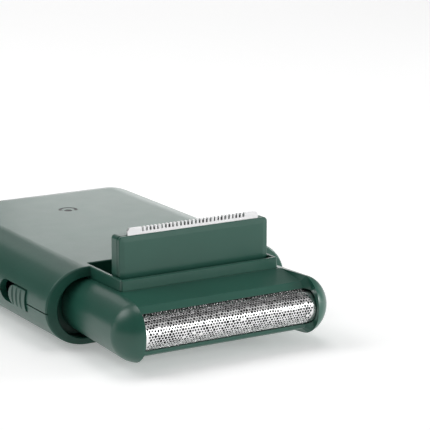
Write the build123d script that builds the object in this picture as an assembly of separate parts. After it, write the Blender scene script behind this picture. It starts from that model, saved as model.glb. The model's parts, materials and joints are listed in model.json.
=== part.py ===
"""Pocket foil shaver with a pop-up trimmer, built as separate pieces.

Own frame, in millimetres: X across the width with the middle at 0, Y along the handle with 0 at
the handle's front rim, the shaving head at negative Y and the handle at positive Y, Z up with 0
on the flat underside. Every piece is drawn where it sits at rest, with the trimmer raised.
"""

import os

from build123d import *

# ---------------------------------------------------------------- handle
body_half_width = 31.1
body_thickness = 17.9
side_round = 10.2
body_flat_length = 67.7
wall = 1.6
seam_z = 8.55
seam_groove = 0.3
seam_groove_depth = 0.5
rim_depth = 3.2
shell_gap = 0.1
rim_round = 0.35
mouth_flare = 0.2

# recess in the front rim that takes the head
recess_half_width = 28.1
recess_half_height = 6.95
recess_z = 8.55

# ---------------------------------------------------------------- head
axis_z = 8.65
head_front = -29.6
neck_half_width = 25.7
neck_half_height = 6.5
cheek_half_width = 27.35
cheek_half_height = 6.83
cheek_rise = 0.22
head_wall = 1.3
head_tail = 2.6
nose_round = 6.3
lip_half_width = 20.6
cheek_inner_x = 21.75
cheek_wall_rise = 1.3
window_half_width = 22.4
deck_rear = (-13.0, 15.83)
deck_front = (-23.5, 14.25)
upper_lip = (-24.7, 12.95)
lower_lip = (-26.0, 4.9)
lower_lip_back = (-23.0, 3.1)
belly_front = (-20.6, 2.5)
belly_rear = (-12.0, 1.75)

# ---------------------------------------------------------------- foil and inner cutter
foil_centre_y = -24.5
foil_radius = 3.74
foil_sheet = 0.2
foil_half_width = 22.2
foil_tail_y = -18.0
window_gap = 0.2
window_top_gap = 0.5
blade_gap = 0.35
blade_half_width = 19.0
blade_pitch = 1.5
blade_slot = 0.95

# ---------------------------------------------------------------- trimmer and its pocket
tongue_half_width = 20.0
tongue_front = -15.0
tongue_wall = 0.9
tray_rear = 2.5
tray_floor = 12.9
tray_sheet = 1.2
notch_gap = 0.15
hinge_y = -10.3
hinge_z = 15.9
hinge_pin_radius = 0.8
running_gap = 0.05
trimmer_gap = 0.17
trimmer_front = -12.35
trimmer_back = -8.55
trimmer_bottom = 13.9
trimmer_top = 26.8
trimmer_cover_sheet = 1.1
cover_corner = 0.9
cover_round = 0.25
crown_depth = 0.15
crown_inset = 1.25
parting_groove = 0.2
edge_chamfer = 0.2
comb_sheet = 0.6
comb_base_half_width = 16.6
comb_tip_half_width = 16.1
comb_tip_z = 28.4
comb_corner_z = 27.75
comb_pitch = 0.95
comb_slots = 28
comb_slot_width = 0.5
comb_slot_z = 27.45
cutter_teeth = 24
cutter_sheet = 0.5

# ---------------------------------------------------------------- drive
crank_offset = 0.7
crank_pin_radius = 0.75
shaft_radius = 1.0
plate_y = 3.3
plate_sheet = 2.0
motor_length = 25.0
motor_radius = 7.7
motor_flat = 11.9
rod_y = -3.2
rod_radius = 1.0
low_rod_radius = 0.8
low_rod_z = 5.2
slider_half_width = 9.5
arm_inner = 12.0
arm_outer = 15.0
pin_radius = 1.5

# ---------------------------------------------------------------- switch
switch_slot_front = 9.6
switch_slot_rear = 23.5
switch_slot_low = 6.3
switch_slot_high = 11.5
switch_button_length = 8.4
switch_gap = 0.25

# ---------------------------------------------------------------- power
cell_radius = 7.0
cell_length = 43.0
cell_y = 40.5
board_sheet = 1.2
board_z = 6.1
board_front = 49.0
board_rear = 72.5
board_half_width = 16.0
socket_half_width = 4.47
socket_half_height = 1.6
socket_z = 8.95
mark_x = 0.5
mark_y = 51.3
mark_inner_radius = 1.6
mark_outer_radius = 2.4
light_radius = 0.95
mark_turn = -25
light_shift = (-0.42, -0.9)
mark_depth = 0.45
mark_step = 0.04
flange_reach = 1.4
flange_rear_reach = 0.5
screw_places = [(-14.5, 10.0), (14.5, 10.0), (-19.0, 62.0), (19.0, 62.0)]

half_thickness = body_thickness / 2


def block(x0, x1, y0, y1, z0, z1):
    """A box between two opposite corners."""
    return Pos((x0 + x1) / 2, (y0 + y1) / 2, (z0 + z1) / 2) * Box(x1 - x0, y1 - y0, z1 - z0)


def rod_x(radius, x0, x1, y, z):
    """A round bar along X."""
    return Pos((x0 + x1) / 2, y, z) * Rot(0, 90, 0) * Cylinder(radius, x1 - x0)


def rod_along_y(radius, y0, y1, x, z):
    """A round bar along Y."""
    return Pos(x, (y0 + y1) / 2, z) * Rot(90, 0, 0) * Cylinder(radius, y1 - y0)


def rod_z(radius, z0, z1, x, y):
    """A round bar along Z."""
    return Pos(x, y, (z0 + z1) / 2) * Cylinder(radius, z1 - z0)


def slab_along_x(points, half_width):
    """A prism with the given (y, z) outline, centred on X = 0."""
    face = make_face(Polyline(*[(0, y, z) for y, z in points], close=True))
    return extrude(face, amount=half_width, dir=(1, 0, 0), both=True)


def stadium(half_width, half_height, y, z):
    """An upright face in the plane at Y = y, flat above and below and round at both ends."""
    middle = Rectangle(2 * (half_width - half_height), 2 * half_height)
    ends = [Pos(side * (half_width - half_height), 0) * Circle(half_height) for side in (-1, 1)]
    return Plane(origin=(0, y, z), x_dir=(1, 0, 0), z_dir=(0, -1, 0)) * (middle + ends)


def pebble(inset, y_start):
    """The handle's outer form, shrunk by the inset and cut off flat at y_start."""
    flat = body_half_width - side_round
    half = half_thickness - inset
    reach = side_round - inset
    middle = block(-flat, flat, y_start, body_flat_length, inset, body_thickness - inset)
    oval = Pos(0, half_thickness) * Ellipse(reach, half)
    form = middle
    for side in (-1, 1):
        half_oval = oval & (Pos(side * reach, half_thickness) * Rectangle(2 * reach, 2 * half))
        face = Plane(origin=(side * flat, y_start, 0), x_dir=(1, 0, 0), z_dir=(0, -1, 0)) * half_oval
        form += extrude(face, amount=-(body_flat_length - y_start))
        rear = Plane(origin=(side * flat, body_flat_length, 0), x_dir=(1, 0, 0), z_dir=(0, -1, 0)) * half_oval
        upright = Axis((side * flat, body_flat_length, 0), (0, 0, side))
        form += revolve(rear, upright, 90)
    tail = oval & (Pos(reach, half_thickness) * Rectangle(2 * reach, 2 * half))
    tail_face = Plane(origin=(-flat, body_flat_length, 0), x_dir=(0, 1, 0), z_dir=(1, 0, 0)) * tail
    form += extrude(tail_face, amount=2 * flat)
    return form


# ================================================================ handle shells
rim_front = -rim_round - 0.05
outer = pebble(0, rim_front)
outer = fillet(outer.edges().group_by(Axis.Y)[0], rim_round)
inside = pebble(wall, rim_depth)
recess_face = stadium(recess_half_width, recess_half_height, rim_depth + 1, recess_z)
recess = extrude(recess_face, amount=rim_depth + 2 - rim_front)
mouth = [stadium(recess_half_width + grow, recess_half_height + grow, y, recess_z)
         for grow, y in ((mouth_flare + 0.1, rim_front - 0.1), (0, rim_front + mouth_flare))]
recess += loft(mouth, ruled=True)
shell = outer - inside - recess

slot_mid_z = (switch_slot_low + switch_slot_high) / 2
slot_half = (switch_slot_high - switch_slot_low) / 2
slot_reach = body_half_width - wall - 4
side_slot = block(-body_half_width - 1, -slot_reach, switch_slot_front, switch_slot_rear - slot_half,
                  switch_slot_low, switch_slot_high)
side_slot += rod_x(slot_half, -body_half_width - 1, -slot_reach, switch_slot_rear - slot_half, slot_mid_z)
shell -= side_slot

body_end = body_flat_length + side_round
socket_gap = 0.3
shell -= block(-socket_half_width - socket_gap, socket_half_width + socket_gap, body_end - 6, body_end + 1,
               socket_z - socket_half_height - socket_gap, socket_z + socket_half_height + socket_gap)

top_side = block(-50, 50, -50, 110, seam_z, 40)
low_side = block(-50, 50, -50, 110, -1, seam_z)
groove_band = block(-50, 50, -2, 110, seam_z - seam_groove, seam_z) - pebble(seam_groove_depth, -3)

boss_radius = 2.6
screw_radius = 0.8
screw_head_radius = 1.8
screw_head_z = 1.5
screw_tip_z = 13.0

# upper shell with the tongue that carries the trimmer's pocket
upper = shell & top_side
tongue = block(-tongue_half_width, tongue_half_width, tongue_front, rim_depth, tray_floor - tray_sheet,
               body_thickness)
tongue_tips = tongue.edges().filter_by(Axis.Z).sort_by(Axis.Y)[:2]
tongue = fillet(tongue_tips, 0.5)
tongue = chamfer(tongue.edges().group_by(Axis.Z)[-1], edge_chamfer)
pocket_half_width = tongue_half_width - tongue_wall
pocket = block(-pocket_half_width, pocket_half_width, tongue_front + tongue_wall, tray_rear, tray_floor,
               body_thickness + 2)
pocket_mouth = []
for grow, z in ((0, body_thickness - edge_chamfer), (edge_chamfer + 0.1, body_thickness + 0.1)):
    mouth_length = tray_rear - tongue_front - tongue_wall + 2 * grow
    middle = Pos(0, (tray_rear + tongue_front + tongue_wall) / 2, z)
    pocket_mouth.append(middle * Rectangle(2 * (pocket_half_width + grow), mouth_length))
pocket += loft(pocket_mouth, ruled=True)
upper = upper + tongue - pocket
for x, y in screw_places:
    upper += rod_z(boss_radius, seam_z, body_thickness - wall, x, y)
    upper -= rod_z(screw_radius, seam_z - 1, screw_tip_z + 0.3, x, y)
pin_reach = pocket_half_width + 0.55
for side in (-1, 1):
    inner_x = side * (pocket_half_width - 0.5)
    outer_x = side * (pin_reach + 0.1)
    low_x = min(inner_x, outer_x)
    high_x = max(inner_x, outer_x)
    upper -= rod_x(hinge_pin_radius + running_gap, low_x, high_x, hinge_y, hinge_z)
finger_slot = block(-3.3, 3.3, hinge_y - 2.2, hinge_y + 1.0, tray_floor - 2, tray_floor + 1)
upper -= finger_slot
mark = rod_z(mark_outer_radius, body_thickness - mark_depth, body_thickness + 1, mark_x, mark_y)
mark -= rod_z(mark_inner_radius, body_thickness - 1, body_thickness + 2, mark_x, mark_y)
mark_opening = block(-5, 5, -5, -0.9, body_thickness - 2, body_thickness + 2)
mark -= Pos(mark_x, mark_y, 0) * Rot(0, 0, mark_turn) * mark_opening
upper -= mark
mark_top = body_thickness - mark_step
mark_inlay = mark & block(mark_x - 5, mark_x + 5, mark_y - 5, mark_y + 5, body_thickness - 2, mark_top)
light_x = mark_x + light_shift[0]
light_y = mark_y + light_shift[1]
upper -= rod_z(light_radius + 0.05, body_thickness - 2, body_thickness + 1, light_x, light_y)

# lower shell
lower = (shell & low_side) - groove_band
for x, y in screw_places:
    lower += rod_z(boss_radius, wall / 2, seam_z, x, y) & low_side
    lower -= rod_z(screw_head_radius + 0.15, -1, screw_head_z, x, y)
    lower -= rod_z(screw_radius + 0.2, -1, seam_z + 1, x, y)
for y in (cell_y - cell_radius - 1.2, cell_y + cell_radius + 0.2):
    lower += block(-16, 16, y, y + 1.0, wall / 2, 4.5)
for x in (-12.5, 12.5):
    lower += rod_z(1.6, wall / 2, board_z, x, 58.0)


def screw_up(x, y, head_low, head_high, tip):
    """A cross-head screw standing upright, driven from below."""
    body = rod_z(screw_head_radius, head_low, head_high, x, y) + rod_z(screw_radius, head_low, tip, x, y)
    for turn in (0, 90):
        body -= Pos(x, y, head_low) * Rot(0, 0, turn) * Box(1.8, 0.35, 0.9)
    return body


screws = [screw_up(x, y, 0.5, screw_head_z, screw_tip_z) for x, y in screw_places]

# ================================================================ drive plate, motor and crank
plate_section = pebble(wall + shell_gap, plate_y) & block(-40, 40, plate_y, plate_y + plate_sheet, -1, 30)
plate = plate_section - rod_along_y(2.6, 0, 8, 0, axis_z)
for x, y in screw_places:
    plate -= rod_z(boss_radius + 0.2, 0, 20, x, y)
for side in (-1, 1):
    arm_low_x = min(side * arm_inner, side * arm_outer)
    arm_high_x = max(side * arm_inner, side * arm_outer)
    plate += block(arm_low_x, arm_high_x, rod_y - 2, plate_y, 3.9, 11.2)
screw_x = 5.2
for side in (-1, 1):
    plate -= rod_along_y(0.9, plate_y - 1, plate_y + plate_sheet + 1, side * screw_x, axis_z)
    clip_x = side * 23.5
    plate -= block(clip_x - 0.25, clip_x + 0.25, plate_y - 1, plate_y + 1.2, axis_z - 2, axis_z + 2)

rods = []
for side in (-1, 1):
    start = min(side * 6.5, side * arm_outer)
    stop = max(side * 6.5, side * arm_outer)
    rods.append(rod_x(rod_radius, start, stop, rod_y, axis_z))
rods.append(rod_x(low_rod_radius, -arm_outer, arm_outer, rod_y, low_rod_z))
for rod in rods:
    plate -= rod

clips = []
for side in (-1, 1):
    clip_x = side * 23.5
    clips.append(block(clip_x - 0.25, clip_x + 0.25, rod_y - 5, plate_y + 1.2, axis_z - 2, axis_z + 2))

motor_front = plate_y + plate_sheet
motor_rear = motor_front + motor_length
can = rod_along_y(motor_radius, motor_front, motor_rear - 3, 0, axis_z)
can = can & block(-20, 20, 0, 60, axis_z - motor_flat / 2, axis_z + motor_flat / 2)
bush_radius = 2.5
can -= rod_along_y(bush_radius, motor_front - 1, motor_front + 2.5, 0, axis_z)
can -= rod_along_y(shaft_radius + 0.4, motor_front - 1, motor_rear - 1, 0, axis_z)
for side in (-1, 1):
    can -= rod_along_y(0.7, motor_front - 1, motor_front + 2.6, side * screw_x, axis_z)
cap = rod_along_y(motor_radius, motor_rear - 3, motor_rear, 0, axis_z)
cap = cap & block(-20, 20, 0, 60, axis_z - motor_flat / 2, axis_z + motor_flat / 2)
cap -= rod_along_y(shaft_radius + 0.4, motor_rear - 4, motor_rear - 1.5, 0, axis_z)
bush = rod_along_y(bush_radius, motor_front, motor_front + 2.5, 0, axis_z)
bush -= rod_along_y(shaft_radius + running_gap, motor_front - 1, motor_front + 4, 0, axis_z)
terminals = []
for side in (-1, 1):
    tab_x = side * 4.0
    terminals.append(block(tab_x - 1, tab_x + 1, motor_rear, motor_rear + 2.2, axis_z - 0.2, axis_z + 0.2))

shaft_seal = rod_along_y(2.6, plate_y, plate_y + 1.6, 0, axis_z)
shaft_seal -= rod_along_y(shaft_radius + 0.1, plate_y - 1, plate_y + 3, 0, axis_z)

motor_screws = []
for side in (-1, 1):
    one = rod_along_y(1.3, plate_y - 0.8, plate_y, side * screw_x, axis_z)
    one += rod_along_y(0.7, plate_y - 0.4, motor_front + 2.4, side * screw_x, axis_z)
    motor_screws.append(one - block(side * screw_x - 1, side * screw_x + 1, plate_y - 1, plate_y - 0.5,
                                    axis_z - 0.15, axis_z + 0.15))

shaft = rod_along_y(shaft_radius, 0.6, motor_rear - 1.8, 0, axis_z)
crank = rod_along_y(3.0, 0.2, 2.3, 0, axis_z)
crank -= rod_along_y(shaft_radius, 0.6, 4, 0, axis_z)
crank += rod_along_y(crank_pin_radius, rod_y - 1.6, 0.4, 0, axis_z + crank_offset)

# ================================================================ sliding bridge
bridge_front = rod_y - 2.0
bridge_rear = rod_y + 1.9
bridge = block(-slider_half_width, slider_half_width, bridge_front, bridge_rear, 3.9, 11.2)
slot_x = crank_pin_radius + 2 * crank_offset + 0.15
slot_z = crank_pin_radius + crank_offset + 0.35
bridge -= block(-slot_x, slot_x, bridge_front - 1, bridge_rear + 1, axis_z - slot_z, axis_z + 2.3)
pin_front = -16.4
finger_y = (hinge_y - 1.1, hinge_y - 0.2)
bridge += block(-0.7, 0.7, finger_y[0], bridge_front, 10.3, 11.2)
bridge += block(-0.7, 0.7, finger_y[0], finger_y[1], 10.3, hinge_z - 2.6)
bush_outer = 1.7
bridge_bushes = []
for side in (-1, 1):
    end = side * slider_half_width
    stop = side * 4.6
    low_x = min(end, stop)
    high_x = max(end, stop)
    bridge -= rod_x(bush_outer, low_x, high_x, rod_y, axis_z)
    tube = rod_x(bush_outer, low_x, high_x, rod_y, axis_z)
    bridge_bushes.append(tube - rod_x(rod_radius + running_gap, low_x - 1, high_x + 1, rod_y, axis_z))
bridge -= rod_x(low_rod_radius + running_gap, -slider_half_width - 1, slider_half_width + 1, rod_y, low_rod_z)
bridge = fillet(bridge.edges().filter_by(Axis.Y).group_by(Axis.Z)[0], 0.8)
neck_block = block(-3.2, 3.2, bridge_front - 2.6, bridge_front, 4.6, 9.9)
bridge += neck_block
drive_pin = rod_along_y(pin_radius, pin_front, bridge_front, 0, axis_z - 1.4)
bridge -= drive_pin

# ================================================================ inner cutter
blade_radius = foil_radius - foil_sheet - blade_gap
cutter_rear = foil_centre_y + blade_radius
arch = rod_x(blade_radius, -blade_half_width, blade_half_width, foil_centre_y, axis_z)
arch += block(-blade_half_width, blade_half_width, foil_centre_y, cutter_rear, axis_z - blade_radius,
              axis_z + blade_radius)
arch -= rod_x(blade_radius - 1.1, -blade_half_width - 1, blade_half_width + 1, foil_centre_y, axis_z)
blade_count = int(2 * blade_half_width / blade_pitch)
first = -(blade_count - 1) / 2 * blade_pitch
for index in range(blade_count):
    slot_at = first + index * blade_pitch
    arch -= block(slot_at - blade_slot / 2, slot_at + blade_slot / 2, foil_centre_y - 5, foil_centre_y + 1.6,
                  axis_z - 5, axis_z + 5)
blades = arch
carrier = block(-18.4, 18.4, cutter_rear, -17.7, axis_z - 2.7, axis_z + 2.7)
carrier = chamfer(carrier.edges().filter_by(Axis.X).group_by(Axis.Y)[-1], 0.8)
boss_z = axis_z - 1.4
carrier += rod_along_y(2.9, -17.8, -12.6, 0, boss_z)
carrier -= rod_along_y(pin_radius + running_gap, pin_front - 0.9, -10, 0, boss_z)
spring_front = -12.6
spring_rear = bridge_front - 2.6
coil_turns = 5
coil_wire = 0.25
coil_length = spring_rear - spring_front - 2 * coil_wire
coil = Helix(pitch=coil_length / coil_turns, height=coil_length, radius=2.15)
coil_start = Plane(origin=coil @ 0, z_dir=coil % 0)
spring = sweep(coil_start * Circle(coil_wire), path=coil)
cutter_spring = Pos(0, spring_rear - coil_wire, boss_z) * Rot(90, 0, 0) * spring

# ================================================================ shaving head
tail_face = stadium(neck_half_width, neck_half_height, head_tail, axis_z)
front_face = stadium(cheek_half_width, cheek_half_height, head_front, axis_z + cheek_rise)
blank = loft([tail_face, front_face], ruled=True)
nose = blank.edges().group_by(Axis.Y)[0]
blank = fillet(nose, nose_round)

hollow = loft([
    stadium(neck_half_width - head_wall, neck_half_height - head_wall, head_tail + 1, axis_z),
    stadium(neck_half_width - head_wall + 0.3, cheek_half_height - head_wall, -17.0, axis_z),
], ruled=True)
front_room_half = 20.95
room_below = 4.9
room_above = 4.7
front_room = block(-front_room_half, front_room_half, -22.4, -16.5, axis_z - room_below, axis_z + room_above)
tunnel_half = foil_radius + window_gap
tunnel_rise = window_top_gap - window_gap
tunnel = rod_x(tunnel_half, -window_half_width, window_half_width, foil_centre_y, axis_z)
tunnel += rod_x(tunnel_half, -window_half_width, window_half_width, foil_centre_y, axis_z + tunnel_rise)
tunnel += block(-window_half_width, window_half_width, foil_centre_y, -20.5, axis_z - tunnel_half,
                axis_z + tunnel_half + tunnel_rise)


def front_outline(grow):
    """The (y, z) outline of what lies ahead of the lips and above the deck, pulled back by grow."""
    upper = [(deck_rear[0], deck_rear[1] + grow), (deck_front[0] - 0.4 * grow, deck_front[1] + grow)]
    upper.append((upper_lip[0] - grow, upper_lip[1] + 0.4 * grow))
    lower = [(lower_lip[0] - grow, lower_lip[1] - 0.2 * grow)]
    lower.append((lower_lip[0] + 0.6 - 0.8 * grow, lower_lip[1] - 0.9 - 0.5 * grow))
    lower.append((lower_lip[0] + 1.5 - 0.5 * grow, lower_lip[1] - 1.45 - 0.8 * grow))
    lower.append((lower_lip_back[0], lower_lip_back[1] - grow))
    lower.append((belly_front[0], belly_front[1] - grow))
    lower.append((belly_rear[0], belly_rear[1] - grow))
    frame = [(belly_rear[0], -8), (-45, -8), (-45, 28), (deck_rear[0], 28)]
    return upper + lower + frame


head = blank - hollow - front_room - tunnel - slab_along_x(front_outline(0), lip_half_width)
for side in (-1, 1):
    flare = []
    for x, grow in ((lip_half_width, 0), (cheek_inner_x, cheek_wall_rise)):
        points = [(side * x, y, z) for y, z in front_outline(grow)]
        flare.append(make_face(Polyline(*points, close=True)))
    head -= loft(flare, ruled=True)
notch_half = tongue_half_width + notch_gap
head -= block(-notch_half, notch_half, tongue_front - notch_gap, 10, axis_z, 30)

foil_outer = rod_x(foil_radius, -foil_half_width, foil_half_width, foil_centre_y, axis_z)
foil_outer += block(-foil_half_width, foil_half_width, foil_centre_y, foil_tail_y, axis_z - foil_radius,
                    axis_z + foil_radius)
foil_inner_r = foil_radius - foil_sheet
foil_inner = rod_x(foil_inner_r, -30, 30, foil_centre_y, axis_z)
foil_inner += block(-30, 30, foil_centre_y, foil_tail_y + 1, axis_z - foil_inner_r, axis_z + foil_inner_r)
foil = foil_outer - foil_inner
foil -= block(-30, -front_room_half + 0.3, -20.7, -10, 0, 20)
foil -= block(front_room_half - 0.3, 30, -20.7, -10, 0, 20)

frame_half = front_room_half - 0.1
frame_low = axis_z - room_below + 0.2
frame_high = axis_z + room_above - 0.15
frame_bar = 0.8
foil_frame = block(-frame_half, frame_half, -22.0, foil_tail_y, frame_low, frame_high)
foil_frame -= block(-frame_half + frame_bar, frame_half - frame_bar, -30, -10, axis_z - foil_inner_r,
                    axis_z + foil_inner_r)
foil_frame -= block(-frame_half - 1, frame_half + 1, -30, -10, axis_z - foil_radius, axis_z - foil_inner_r)
foil_frame -= block(-frame_half - 1, frame_half + 1, -30, -10, axis_z + foil_inner_r, axis_z + foil_radius)
foil_frame -= block(-frame_half - 1, frame_half + 1, -30, -20.6, axis_z - foil_radius, axis_z + foil_radius)

# ================================================================ trimmer
trimmer_half = pocket_half_width - trimmer_gap
comb_back = trimmer_front + trimmer_cover_sheet


def cover_outline(inset, y):
    """The trimmer cover's face, shrunk by the inset, in the plane at Y = y."""
    height = trimmer_top - trimmer_bottom
    plane = Plane(origin=(0, y, trimmer_bottom + height / 2), x_dir=(1, 0, 0), z_dir=(0, -1, 0))
    corner = cover_corner - 0.7 * inset
    return plane * RectangleRounded(2 * (trimmer_half - inset), height - 2 * inset, corner)


cover = extrude(cover_outline(0, comb_back), amount=trimmer_cover_sheet - crown_depth)
cover = fillet(cover.edges().group_by(Axis.Y)[0], cover_round)
cover = chamfer(cover.edges().group_by(Axis.Y)[-1], parting_groove)
crown_foot = cover_outline(cover_round, trimmer_front + crown_depth)
crown_face = cover_outline(crown_inset, trimmer_front)
cover += loft([crown_foot, crown_face], ruled=True)
comb_low = 19.5
comb_front = comb_back - comb_sheet
cover -= block(-comb_base_half_width - 0.1, comb_base_half_width + 0.1, comb_front, 0, comb_low, 40)
cutter_room = 0.6
back_front = comb_back
hull = extrude(cover_outline(0, trimmer_back), amount=trimmer_back - back_front)
hull = fillet(hull.edges().group_by(Axis.Y)[-1], cover_round)
hull = chamfer(hull.edges().group_by(Axis.Y)[0], parting_groove)
cutter_half = comb_tip_half_width - 0.9
room_half = cutter_half + crank_offset + 0.4
hull -= block(-room_half, room_half, back_front - 1, back_front + cutter_room, trimmer_bottom - 1, 40)
hinge_inner = 15.5
pins = []
for side in (-1, 1):
    start = min(side * hinge_inner, side * pin_reach)
    stop = max(side * hinge_inner, side * pin_reach)
    pin = rod_x(hinge_pin_radius, start, stop, hinge_y, hinge_z)
    pins.append(pin)
    hull -= pin
    cover -= pin
hull -= block(-room_half, room_half, back_front - 1, back_front + cutter_room, trimmer_bottom - 1, 40)
pins = [pin - block(-room_half, room_half, -20, 0, 0, 30) for pin in pins]

comb = block(-comb_base_half_width, comb_base_half_width, comb_front, comb_back, comb_low, 26.6)
upright = [(-comb_base_half_width, 26.6), (comb_base_half_width, 26.6), (comb_base_half_width, comb_corner_z)]
upright += [(comb_tip_half_width, comb_tip_z), (-comb_tip_half_width, comb_tip_z)]
upright.append((-comb_base_half_width, comb_corner_z))
teeth = make_face(Polyline(*[(x, comb_back, z) for x, z in upright], close=True))
comb += extrude(teeth, amount=comb_sheet, dir=(0, -1, 0))
first_slot = -(comb_slots - 1) / 2 * comb_pitch
for index in range(comb_slots):
    at = first_slot + index * comb_pitch
    comb -= block(at - comb_slot_width / 2, at + comb_slot_width / 2, -20, 0, comb_slot_z, 40)

cutter_front = comb_back + 0.03
cutter_back = cutter_front + cutter_sheet
cutter_top = comb_tip_z - 0.45
cutter = block(-cutter_half, cutter_half, cutter_front, cutter_back, 21.0, cutter_top)
cutter_pitch = 2 * (cutter_half - 0.6) / cutter_teeth
for index in range(cutter_teeth):
    at = -cutter_half + 0.6 + (index + 0.5) * cutter_pitch
    cutter -= block(at - 0.4, at + 0.4, -20, 0, comb_slot_z - 0.1, 40)
cutter += block(-2.2, 2.2, cutter_front, cutter_back, hinge_z - 3.2, 21.0)
cutter -= block(-0.82, 0.82, -20, 0, hinge_z - 4, hinge_z - 1.9)

leaf = block(5.0, 14.0, -9.5, 0.5, tray_floor, tray_floor + 0.2)

# ================================================================ switch button
button_front = switch_slot_front + switch_gap
button_rear = button_front + switch_button_length
cap_low = switch_slot_low + switch_gap
cap_high = switch_slot_high - switch_gap
cap_half = slot_half - switch_gap
button_plan = block(-40, -slot_reach, button_front, button_rear - cap_half, cap_low, cap_high)
button_plan += rod_x(cap_half, -40, -slot_reach, button_rear - cap_half, slot_mid_z)
button = pebble(-0.35, -1) & button_plan
button -= pebble(wall + 0.2, -2)
rib_step = switch_button_length / 4
for index in range(3):
    at = button_front + (index + 1) * rib_step
    button -= rod_z(0.55, 0, 20, -body_half_width - 0.5, at)
flange_front = button_front - flange_reach
flange_rear = button_rear + flange_rear_reach
flange = pebble(wall + 0.2, -1) & block(-40, -slot_reach, flange_front, flange_rear, cap_low - 1.1, cap_high + 1.1)
flange -= pebble(wall + 1.3, -2)
button += flange
switch_x = -body_half_width + wall + 1.3
fork = block(switch_x - 0.2, switch_x + 2.6, button_front + 2.6, button_rear - 2.6, slot_mid_z - 1,
             slot_mid_z + 1)
button += fork

switch_case = block(-25.2, -20.2, 9.5, 24.5, 6.6, 11.2)
switch_case -= block(-26, -22.6, 11.2, 23.0, slot_mid_z - 1.3, slot_mid_z + 1.3)
switch_board = block(-25.6, -12.2, 14.0, 31.5, 5.4, 6.6)
lower += block(-19.0, -17.0, 16.0, 30.0, wall / 2, 5.4)

# ================================================================ power
cell = rod_x(cell_radius, -cell_length / 2, cell_length / 2, cell_y, axis_z)
cell = fillet(cell.edges().filter_by(GeomType.CIRCLE), 0.6)
contacts = []
for side in (-1, 1):
    near = side * cell_length / 2
    far = side * (cell_length / 2 + 0.3)
    contacts.append(block(min(near, far), max(near, far), cell_y - 3, cell_y + 3, axis_z - 3, axis_z + 3))
pad = block(-12, 12, cell_y - 3, cell_y + 3, cell_radius + axis_z + 0.02, body_thickness - wall)

board = block(-board_half_width, board_half_width, board_front, board_rear, board_z, board_z + board_sheet)
board_top = board_z + board_sheet
chips = [
    block(-13, -7, 52.5, 58, board_top, board_top + 1.5),
    block(6, 11, 53, 57, board_top, board_top + 1.2),
    block(7, 10, 62, 64, board_top, board_top + 1.0),
    block(-11, -8, 63, 65.5, board_top, board_top + 2.2),
    block(light_x - 0.8, light_x + 0.8, light_y - 0.6, light_y + 0.6, board_top, board_top + 0.7),
]
pipe_low = board_top + 1.0
pipe = rod_z(light_radius, pipe_low, body_thickness - mark_step, light_x, light_y)
pipe += rod_z(light_radius + 0.9, pipe_low, pipe_low + 1.2, light_x, light_y)

socket_front = body_end - 7.9
socket_rear = body_end - 0.55
socket_low = socket_z - socket_half_height
socket_high = socket_z + socket_half_height
socket = block(-socket_half_width, socket_half_width, socket_front, socket_rear, socket_low, socket_high)
socket = fillet(socket.edges().filter_by(Axis.Y), 1.3)
socket_room = block(-4.15, 4.15, socket_front + 1.2, socket_rear + 1, socket_z - 1.28, socket_z + 1.28)
socket_room = fillet(socket_room.edges().filter_by(Axis.Y), 1.1)
socket -= socket_room
socket_tongue = block(-3.3, 3.3, socket_front + 1.2, socket_rear - 1.0, socket_z - 0.35, socket_z + 0.35)

wires = []
for side in (-1, 1):
    run = Polyline((side * 18.6, 32.3, 11.5), (side * 11.0, 32.3, 11.5), (side * 5.6, 32.3, 10.2))
    start = Plane(origin=run @ 0, z_dir=run % 0)
    wires.append(sweep(start * Circle(0.45), path=run, transition=Transition.ROUND))

# ================================================================ files
os.makedirs("parts", exist_ok=True)
nodes = {
    "upper_housing": upper,
    "lower_housing": lower,
    "housing_screws": screws,
    "drive_plate": plate,
    "guide_rods": rods,
    "head_clips": clips,
    "motor_can": can,
    "motor_end_cap": cap,
    "motor_bush": bush,
    "motor_terminals": terminals,
    "motor_screws": motor_screws,
    "shaft_seal": shaft_seal,
    "motor_shaft": shaft,
    "crank": crank,
    "drive_bridge": bridge,
    "bridge_bushes": bridge_bushes,
    "drive_pin": drive_pin,
    "cutter_blades": blades,
    "cutter_carrier": carrier,
    "cutter_spring": cutter_spring,
    "head_shell": head,
    "foil": foil,
    "foil_frame": foil_frame,
    "trimmer_cover": cover,
    "trimmer_block": hull,
    "trimmer_pins": pins,
    "trimmer_comb": comb,
    "trimmer_cutter": cutter,
    "trimmer_leaf_spring": leaf,
    "switch_button": button,
    "switch_case": switch_case,
    "switch_board": switch_board,
    "battery_cell": cell,
    "battery_contacts": contacts,
    "battery_pad": pad,
    "circuit_board": board,
    "board_chips": chips,
    "light_pipe": pipe,
    "mark_inlay": mark_inlay,
    "charge_socket": socket,
    "socket_tongue": socket_tongue,
    "wires": wires,
}
for name, form in nodes.items():
    pieces = form if isinstance(form, list) else [form]
    solids = [solid for piece in pieces for solid in piece.solids()]
    export_step(Compound(children=solids), f"parts/{name}.step")
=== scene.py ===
import json
import math
import random

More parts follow.
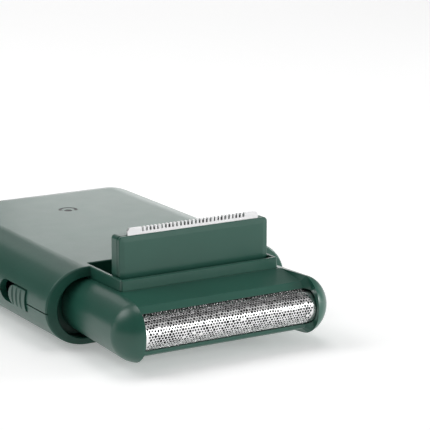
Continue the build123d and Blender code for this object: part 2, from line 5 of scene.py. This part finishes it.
import bmesh
import bpy
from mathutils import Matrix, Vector


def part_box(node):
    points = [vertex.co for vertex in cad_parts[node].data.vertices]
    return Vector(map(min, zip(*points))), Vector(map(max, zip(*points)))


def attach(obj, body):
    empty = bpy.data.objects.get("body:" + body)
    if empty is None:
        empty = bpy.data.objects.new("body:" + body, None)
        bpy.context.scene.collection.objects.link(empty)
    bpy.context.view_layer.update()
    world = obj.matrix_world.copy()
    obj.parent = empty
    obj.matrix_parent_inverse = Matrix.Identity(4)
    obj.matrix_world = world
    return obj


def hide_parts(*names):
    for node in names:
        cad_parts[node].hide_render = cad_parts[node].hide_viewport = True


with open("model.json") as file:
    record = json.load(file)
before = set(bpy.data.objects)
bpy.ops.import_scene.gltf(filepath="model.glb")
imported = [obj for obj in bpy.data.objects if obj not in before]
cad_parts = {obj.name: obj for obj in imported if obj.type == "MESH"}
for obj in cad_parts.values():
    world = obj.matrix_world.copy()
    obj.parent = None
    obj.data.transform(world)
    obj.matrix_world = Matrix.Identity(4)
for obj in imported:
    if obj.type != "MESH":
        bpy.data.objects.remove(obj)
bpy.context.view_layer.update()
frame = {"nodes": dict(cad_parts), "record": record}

MM = 0.001
random.seed(7)


# ---------------------------------------------------------------- shader helpers
def new_material(name, colour, roughness, metallic=0.0):
    mat = bpy.data.materials.new(name)
    mat.use_nodes = True
    tree = mat.node_tree
    shader = tree.nodes["Principled BSDF"]
    shader.inputs["Base Color"].default_value = (*colour, 1)
    shader.inputs["Roughness"].default_value = roughness
    shader.inputs["Metallic"].default_value = metallic
    return mat, tree, shader


def noise(tree, scale, detail, stretch=(1, 1, 1)):
    coord = tree.nodes.new("ShaderNodeTexCoord")
    mapping = tree.nodes.new("ShaderNodeMapping")
    mapping.inputs["Scale"].default_value = stretch
    tex = tree.nodes.new("ShaderNodeTexNoise")
    tex.inputs["Scale"].default_value = scale
    tex.inputs["Detail"].default_value = detail
    tree.links.new(coord.outputs["Object"], mapping.inputs["Vector"])
    tree.links.new(mapping.outputs["Vector"], tex.inputs["Vector"])
    return tex.outputs["Fac"]


def two_tone(tree, value, low, high):
    """One colour below 0.3 and another above 0.7, since noise seldom leaves that middle band."""
    node = tree.nodes.new("ShaderNodeValToRGB")
    for element, place, colour in zip(node.color_ramp.elements, (0.3, 0.7), (low, high)):
        element.position = place
        element.color = (*colour, 1)
    tree.links.new(value, node.inputs["Fac"])
    return node.outputs["Color"]


def span(tree, value, low, high):
    node = tree.nodes.new("ShaderNodeMapRange")
    node.inputs["To Min"].default_value = low
    node.inputs["To Max"].default_value = high
    tree.links.new(value, node.inputs["Value"])
    return node.outputs["Result"]


def bump(tree, shader, value, strength, distance):
    node = tree.nodes.new("ShaderNodeBump")
    node.inputs["Strength"].default_value = strength
    node.inputs["Distance"].default_value = distance
    tree.links.new(value, node.inputs["Height"])
    tree.links.new(node.outputs["Normal"], shader.inputs["Normal"])


# ---------------------------------------------------------------- materials
MOTTLE = 0.06            # share by which a plastic's colour goes up and down
MOTTLE_SCALE = 60
GLOSS_SCALE = 220        # of the patches in which a plastic is duller or glossier
SMOOTHER = 0.02          # what such a patch takes off the roughness at most, or
ROUGHER = 0.03           # adds to it
MOULD_GRAIN = 9000       # scale of the fine grain that a mould leaves
GRAIN_DEPTH = 0.012 * MM
GRAIN_STRENGTH = 0.35
LINE_SCALE = 300         # of a metal's drawn or ground lines
LINE_DEPTH = 0.004 * MM
LINE_STRENGTH = 0.3
LINE_DARKENING = 0.9
LINE_GLOSS = 0.07        # by which a metal's roughness goes up and down
LINES_ALONG_X = (1, 60, 60)
LINES_ACROSS_X = (60, 1, 1)


def plastic(name, colour, roughness, grain=MOULD_GRAIN, depth=GRAIN_DEPTH):
    mat, tree, shader = new_material(name, colour, roughness)
    low = tuple(c * (1 - MOTTLE) for c in colour)
    high = tuple(c * (1 + MOTTLE) for c in colour)
    tint = two_tone(tree, noise(tree, MOTTLE_SCALE, detail=4), low, high)
    tree.links.new(tint, shader.inputs["Base Color"])
    patches = noise(tree, GLOSS_SCALE, detail=5)
    gloss = span(tree, patches, roughness - SMOOTHER, roughness + ROUGHER)
    tree.links.new(gloss, shader.inputs["Roughness"])
    bump(tree, shader, noise(tree, grain, detail=2), GRAIN_STRENGTH, depth)
    return mat


def metal(name, colour, roughness, stretch=LINES_ALONG_X):
    mat, tree, shader = new_material(name, colour, roughness, 1.0)
    lines = noise(tree, LINE_SCALE, detail=3, stretch=stretch)
    dark = tuple(c * LINE_DARKENING for c in colour)
    tree.links.new(two_tone(tree, lines, dark, colour), shader.inputs["Base Color"])
    gloss = span(tree, lines, roughness - LINE_GLOSS, roughness + LINE_GLOSS)
    tree.links.new(gloss, shader.inputs["Roughness"])
    bump(tree, shader, lines, LINE_STRENGTH, LINE_DEPTH)
    return mat


looks = {
    "green": plastic("green_plastic", (0.0150, 0.083, 0.058), 0.30),
    "black": plastic("black_plastic", (0.012, 0.012, 0.013), 0.45),
    "grey": plastic("grey_plastic", (0.33, 0.34, 0.35), 0.45),
    "rubber": plastic("black_rubber", (0.015, 0.015, 0.015), 0.7, grain=6000, depth=0.02 * MM),
    "pcb": plastic("board_green", (0.016, 0.10, 0.055), 0.3),
    "cell": plastic("cell_sleeve", (0.03, 0.12, 0.38), 0.28),
    "foam": plastic("foam", (0.03, 0.03, 0.03), 0.9, grain=4000, depth=0.1 * MM),
    "steel": metal("steel", (0.74, 0.74, 0.745), 0.3),
    "zinc": metal("zinc_steel", (0.6, 0.6, 0.62), 0.4),
    "brass": metal("brass", (0.72, 0.53, 0.24), 0.32),
    "copper": metal("copper", (0.78, 0.42, 0.26), 0.35),
}
foil_steel = metal("bright_steel", (0.92, 0.92, 0.92), 0.24, stretch=LINES_ACROSS_X)
# painted shade: near-black steel for the blades, standing in for the dark seen through the foil's
# holes and the comb's slots
blade_steel_painted_shade = metal("dark_steel_painted_shade", (0.03, 0.03, 0.031), 0.5)

# The blades are painted near black rather than steel-bright. This is painted shade for the dark
# inside of the head that shows behind the comb and the foil.
# The light pipe under the mark is unlit black plastic, as painted shade in the middle of the mark.
looks_by_node = {
    "cutter_blades": blade_steel_painted_shade,
    "trimmer_cutter": blade_steel_painted_shade,
    "light_pipe": looks["black"],
}
slot_of = {entry["node"]: entry["material_slot"] for entry in frame["record"]["subparts"]}
for name, obj in frame["nodes"].items():
    obj.data.materials.clear()
    obj.data.materials.append(looks_by_node.get(name) or looks[slot_of[name]])


# ---------------------------------------------------------------- perforated foil
PITCH = 0.70 * MM              # from the middle of one hole to the next
WOBBLE = 0.21 * PITCH          # by which a corner between three cells strays
NET_STEPS = 12                 # per pitch: fine enough that each corner has a place of its own
SEED_STRIDE = 7919             # keeps two corners from straying alike
PLAIN_END = 1.55 * MM          # strip without holes at each end of the foil
HOLES_PAST_ARCH = 1.2 * MM     # reach of the holes on the flat skirts behind the arch
CLOSED_SHARE = 0.03            # of the cells have no hole
HOLE_SIZES = (0.54, 0.86)      # of a hole, as a share of its cell
CELL_SHARE = 0.55              # a hole's outline is this much its cell's and the rest a circle
SHEET_THICKNESS = 0.11 * MM
MERGE_DISTANCE = 0.001 * MM
SHARP_DEGREES = 35


def foil_shape():
    """The foil's half width, arch and reach, and a function that lays a point on its outside.

    A point has x along the foil and s around it, from 0 on its front line, through the end
    of the arch, to its rear edge at the full reach.
    """
    low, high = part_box("foil")
    radius = (high.z - low.z) / 2
    axis_y = low.y + radius
    axis_z = (high.z + low.z) / 2
    half_width = high.x
    arch = radius * math.pi / 2
    reach = arch + (high.y - axis_y)

    def lay(x, s):
        x = max(-half_width, min(half_width, x))
        s = max(-reach, min(reach, s))
        if abs(s) <= arch:
            angle = s / radius
            return Vector((x, axis_y - radius * math.cos(angle), axis_z + radius * math.sin(angle)))
        return Vector((x, axis_y + abs(s) - arch, axis_z + math.copysign(radius, s)))

    return half_width, arch, reach, lay


def foil_cells():
    """Points and faces of an uneven net of six-sided cells, most of them with a hole."""
    half_width, arch, reach, lay = foil_shape()
    verts, faces, corners, middles = [], [], {}, {}

    def point(x, s):
        verts.append(lay(x, s))
        return len(verts) - 1

    def corner(x, s):
        key = (round(x / PITCH * NET_STEPS), round(s / PITCH * NET_STEPS))
        if key not in corners:
            rng = random.Random(key[0] * SEED_STRIDE + key[1])
            x += rng.uniform(-WOBBLE, WOBBLE)
            s += rng.uniform(-WOBBLE, WOBBLE)
            corners[key] = (x, s, point(x, s))
        return corners[key]

    def middle(p, q):
        key = (min(p[2], q[2]), max(p[2], q[2]))
        if key not in middles:
            x, s = (p[0] + q[0]) / 2, (p[1] + q[1]) / 2
            middles[key] = (x, s, point(x, s))
        return middles[key]

    def outline(x, s):
        """The cell's six corners with the middles of its sides between them."""
        corner_drop = PITCH / math.sqrt(3)
        turns = [math.radians(60 * k + 30) for k in range(6)]
        cell = [corner(x + corner_drop * math.cos(t), s + corner_drop * math.sin(t)) for t in turns]
        ring = []
        for k in range(6):
            ring += [cell[k], middle(cell[k], cell[(k + 1) % 6])]
        return ring, sum(c[0] for c in cell) / 6, sum(c[1] for c in cell) / 6

    def open_cell(ring, x, s):
        size = random.uniform(*HOLE_SIZES)
        hole = []
        for rx, rs, _ in ring:
            out = math.hypot(rx - x, rs - s)
            even = size * (CELL_SHARE * out + (1 - CELL_SHARE) * PITCH / 2) / out
            hole.append(point(x + (rx - x) * even, s + (rs - s) * even))
        for k in range(len(ring)):
            after_k = (k + 1) % len(ring)
            faces.append((ring[k][2], ring[after_k][2], hole[after_k], hole[k]))

    def closed_cell(ring, x, s):
        centre = point(x, s)
        for k in range(len(ring)):
            faces.append((ring[k][2], ring[(k + 1) % len(ring)][2], centre))

    row_step = PITCH * math.sqrt(3) / 2
    overhang = 0.45 * PITCH
    rows = int(reach / row_step) + 2
    columns = int(half_width / PITCH) + 2
    for row in range(-rows, rows + 1):
        for column in range(-columns, columns + 1):
            x = (column + (0.5 if row % 2 else 0.0)) * PITCH
            s = row * row_step
            if abs(x) > half_width + overhang or abs(s) > reach + overhang:
                continue
            ring, x, s = outline(x, s)
            in_field = abs(x) < half_width - PLAIN_END and abs(s) < arch + HOLES_PAST_ARCH
            if in_field and random.random() > CLOSED_SHARE:
                open_cell(ring, x, s)
            else:
                closed_cell(ring, x, s)
    return verts, faces


def clean(mesh):
    """Merges what fell together at the edges and turns every face outwards."""
    work = bmesh.new()
    work.from_mesh(mesh)
    bmesh.ops.remove_doubles(work, verts=work.verts, dist=MERGE_DISTANCE)
    bmesh.ops.dissolve_degenerate(work, dist=MERGE_DISTANCE, edges=work.edges)
    bmesh.ops.recalc_face_normals(work, faces=work.faces)
    front = min(work.faces, key=lambda f: f.calc_center_median().y)
    if front.normal.y > 0:
        bmesh.ops.reverse_faces(work, faces=work.faces)
    work.to_mesh(mesh)
    work.free()


def thicken(obj):
    """Gives the sheet its thickness on the inside."""
    sheet = obj.modifiers.new("sheet", "SOLIDIFY")
    sheet.thickness = SHEET_THICKNESS
    sheet.offset = -1
    bpy.context.view_layer.objects.active = obj
    bpy.ops.object.select_all(action="DESELECT")
    obj.select_set(True)
    bpy.ops.object.modifier_apply(modifier=sheet.name)


def perforated_foil():
    mesh = bpy.data.meshes.new("foil_sheet")
    verts, faces = foil_cells()
    mesh.from_pydata(verts, [], faces)
    clean(mesh)
    obj = bpy.data.objects.new("foil_sheet", mesh)
    bpy.context.scene.collection.objects.link(obj)
    thicken(obj)
    for face in obj.data.polygons:
        face.use_smooth = True
    obj.data.set_sharp_from_angle(angle=math.radians(SHARP_DEGREES))
    obj.data.materials.append(foil_steel)
    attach(obj, "head")
    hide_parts("foil")


perforated_foil()

# ---------------------------------------------------------------- floor and lights
CAMERA_AZIMUTH = -30.78
WHITE = (1, 1, 1, 1)
WORLD_STRENGTH = 0.173
FLOOR_HALF = 4.0               # metres
FLOOR_DROP = 0.02 * MM         # keeps the floor clear of the underside
FLOOR_ALBEDO = 0.9
FLOOR_ROUGHNESS = 0.8
FLOOR_GLOW = 0.291             # lifts the floor to plain white
LIT_POINT = (0, 0.01, 0.01)    # the lights point at the handle's front
SOFT_BOX_DISTANCE = 0.95
SOFT_BOXES = (                 # turn from the camera's side, height (degrees), watts, width (m)
    ("overhead", 180, 80, 2.30, 0.5),
    ("left", 270, 42, 1.35, 0.5),
    ("left_rear", 225, 42, 0.18, 0.5),
    ("right", 90, 42, 0.13, 0.5),
    ("right_low", 90, 9, 5.4, 0.3),
    ("right_front_low", 45, 9, 0.73, 0.3),
    ("right_rear_low", 135, 9, 0.18, 0.3),
    ("rear_low", 180, 9, 0.576, 0.3),
    ("left_low", 270, 9, 0.384, 0.3),
    ("rear_high", 199, 32, 0.30, 0.36),
    ("front_low", 61, 19, 1.2, 0.36),
    ("right_front_high", 78, 46, 0.15, 0.35),
)

scene = bpy.context.scene
scene.view_settings.view_transform = "Standard"
world = bpy.data.worlds.new("studio")
scene.world = world
world.use_nodes = True
world.node_tree.nodes["Background"].inputs["Color"].default_value = WHITE
world.node_tree.nodes["Background"].inputs["Strength"].default_value = WORLD_STRENGTH


def direction(azimuth, elevation):
    """Unit vector towards a place seen from the object; azimuth 0 is the front."""
    turn, up = math.radians(azimuth), math.radians(elevation)
    return Vector((math.sin(turn) * math.cos(up), -math.cos(turn) * math.cos(up), math.sin(up)))


def studio_floor():
    mesh = bpy.data.meshes.new("floor")
    signs = ((-1, -1), (1, -1), (1, 1), (-1, 1))
    corners = [(FLOOR_HALF * x, FLOOR_HALF * y, -FLOOR_DROP) for x, y in signs]
    mesh.from_pydata(corners, [], [(0, 1, 2, 3)])
    mat, _, shader = new_material("floor", (FLOOR_ALBEDO,) * 3, FLOOR_ROUGHNESS)
    shader.inputs["Specular IOR Level"].default_value = 0.0
    shader.inputs["Emission Color"].default_value = WHITE
    shader.inputs["Emission Strength"].default_value = FLOOR_GLOW
    mesh.materials.append(mat)
    obj = bpy.data.objects.new("floor", mesh)
    scene.collection.objects.link(obj)
    return obj


def soft_box(name, place, size, power):
    data = bpy.data.lights.new(name, "AREA")
    data.energy = power
    data.size = size
    obj = bpy.data.objects.new(name, data)
    scene.collection.objects.link(obj)
    obj.location = place
    facing = Vector(LIT_POINT) - Vector(place)
    obj.rotation_euler = facing.to_track_quat("-Z", "Y").to_euler()


floor = studio_floor()
soft_box("key", (-0.40, 0.36, 0.68), size=0.40, power=1.30)
for name, turn, height, power, size in SOFT_BOXES:
    away = direction(turn + CAMERA_AZIMUTH, height) * SOFT_BOX_DISTANCE
    soft_box(name, away + Vector(LIT_POINT), size, power)

# ---------------------------------------------------------------- camera
CAMERA_ELEVATION = 13.35
CAMERA_DISTANCE = 429.3 * MM
CAMERA_TARGET = Vector((2.147, -17.347, 30.315)) * MM
CLIP_START = 0.01              # metres
SENSOR_WIDTH = 36              # millimetres, as is the focal length
FOCAL_LENGTH = 164.5116

towards_camera = direction(CAMERA_AZIMUTH, CAMERA_ELEVATION)
camera_data = bpy.data.cameras.new("camera")
camera_data.sensor_width = SENSOR_WIDTH
camera_data.lens = FOCAL_LENGTH
camera_data.clip_start = CLIP_START
camera = bpy.data.objects.new("camera", camera_data)
scene.collection.objects.link(camera)
camera.location = CAMERA_TARGET + towards_camera * CAMERA_DISTANCE
camera.rotation_euler = (-towards_camera).to_track_quat("-Z", "Y").to_euler()
scene.camera = camera
